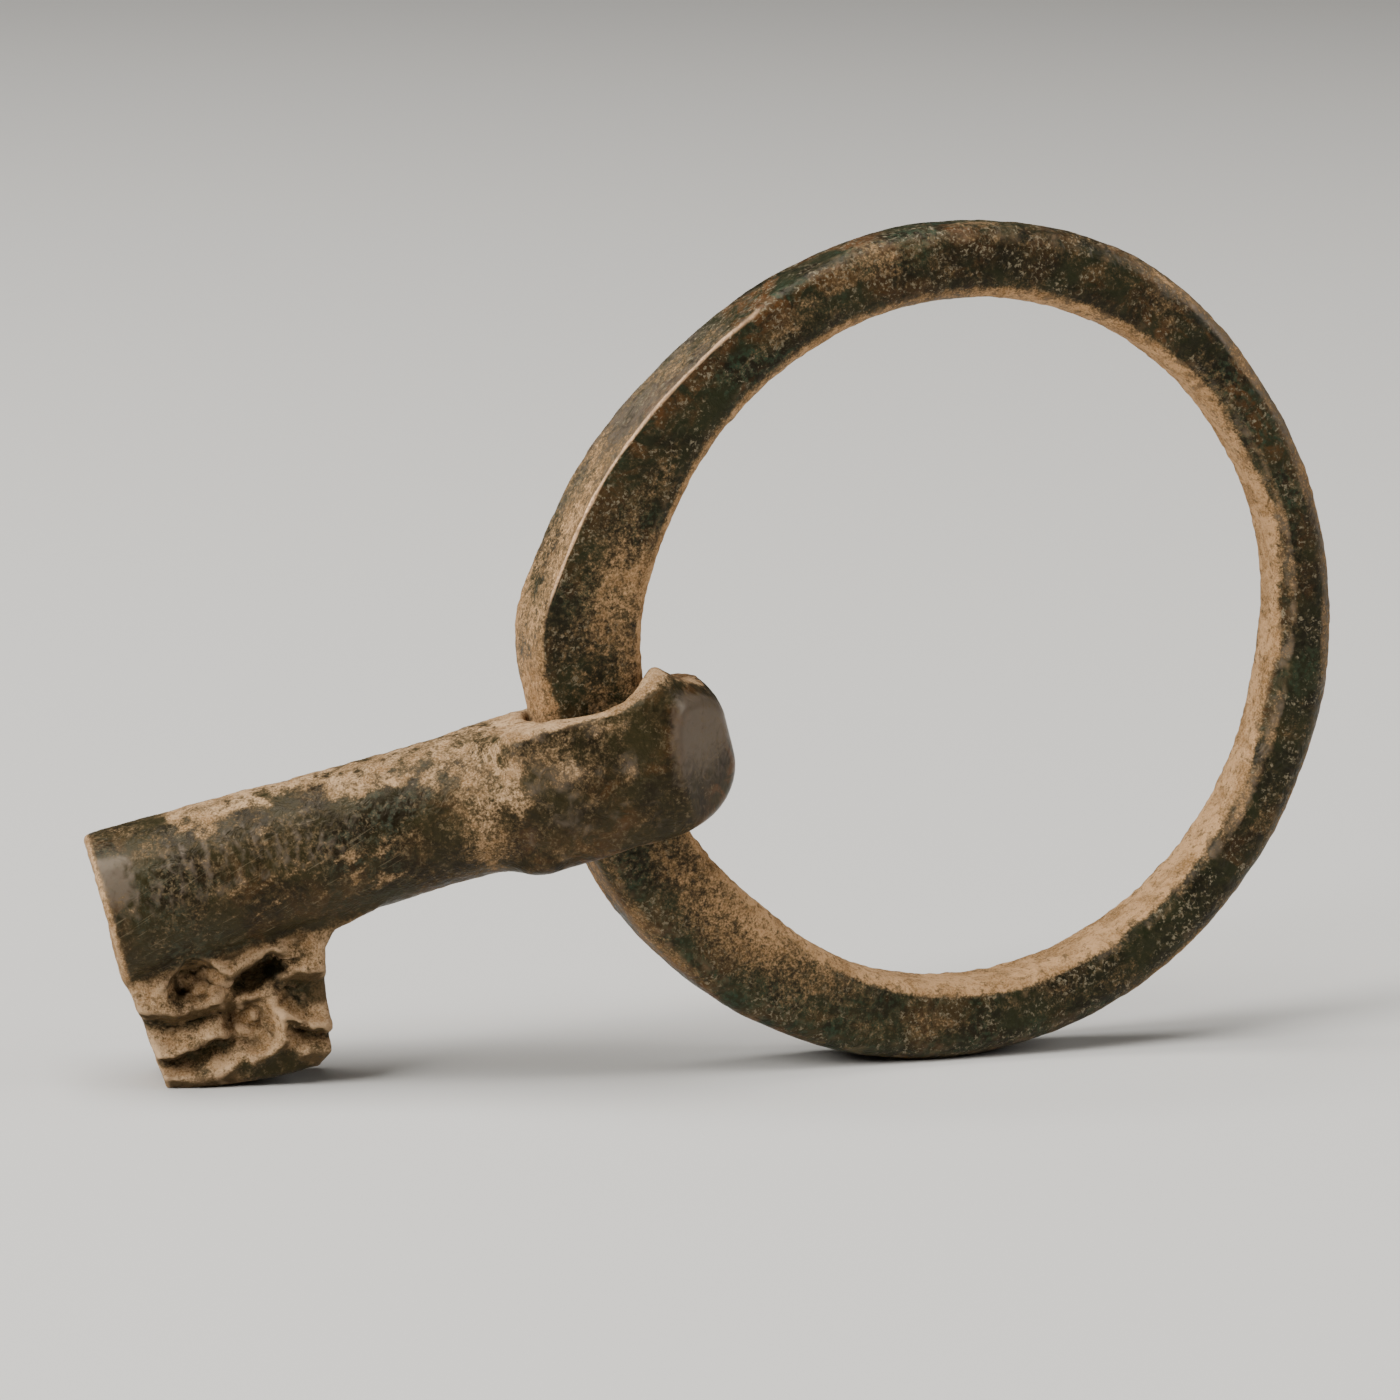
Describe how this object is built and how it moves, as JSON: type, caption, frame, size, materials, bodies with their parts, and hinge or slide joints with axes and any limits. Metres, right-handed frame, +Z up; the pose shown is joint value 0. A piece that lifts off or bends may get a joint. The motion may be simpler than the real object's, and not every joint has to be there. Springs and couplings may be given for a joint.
{
  "type": "pipe key with suspension ring",
  "caption": "Small ancient bronze pipe key with a short warded bit and a thick eye, hung on a loose tapered ring that swings right round through the eye.",
  "frame": {"origin": "on the ground under the middle of the object's bounding box", "axes": "+X from the pipe's mouth towards the ring, +Y away from the viewer and across the ring, +Z up"},
  "size_m": [0.064, 0.0136, 0.042],
  "materials": {
    "key_bronze": "dark olive patina with sandy soil",
    "ring_bronze": "dark olive patina with sandy soil"
  },
  "bodies": {
    "key": {"shank": "key_bronze", "bit": "key_bronze", "collar": "key_bronze", "eye": "key_bronze"},
    "ring": {"ring": "ring_bronze"}
  },
  "joints": [
    {"name": "ring_swing", "type": "hinge", "parent": "key", "child": "ring", "pos_m": [-0.00671, -0.00128, 0.01558], "axis": [-0.2768, 0, 0.9609], "continuous": true}
  ]
}
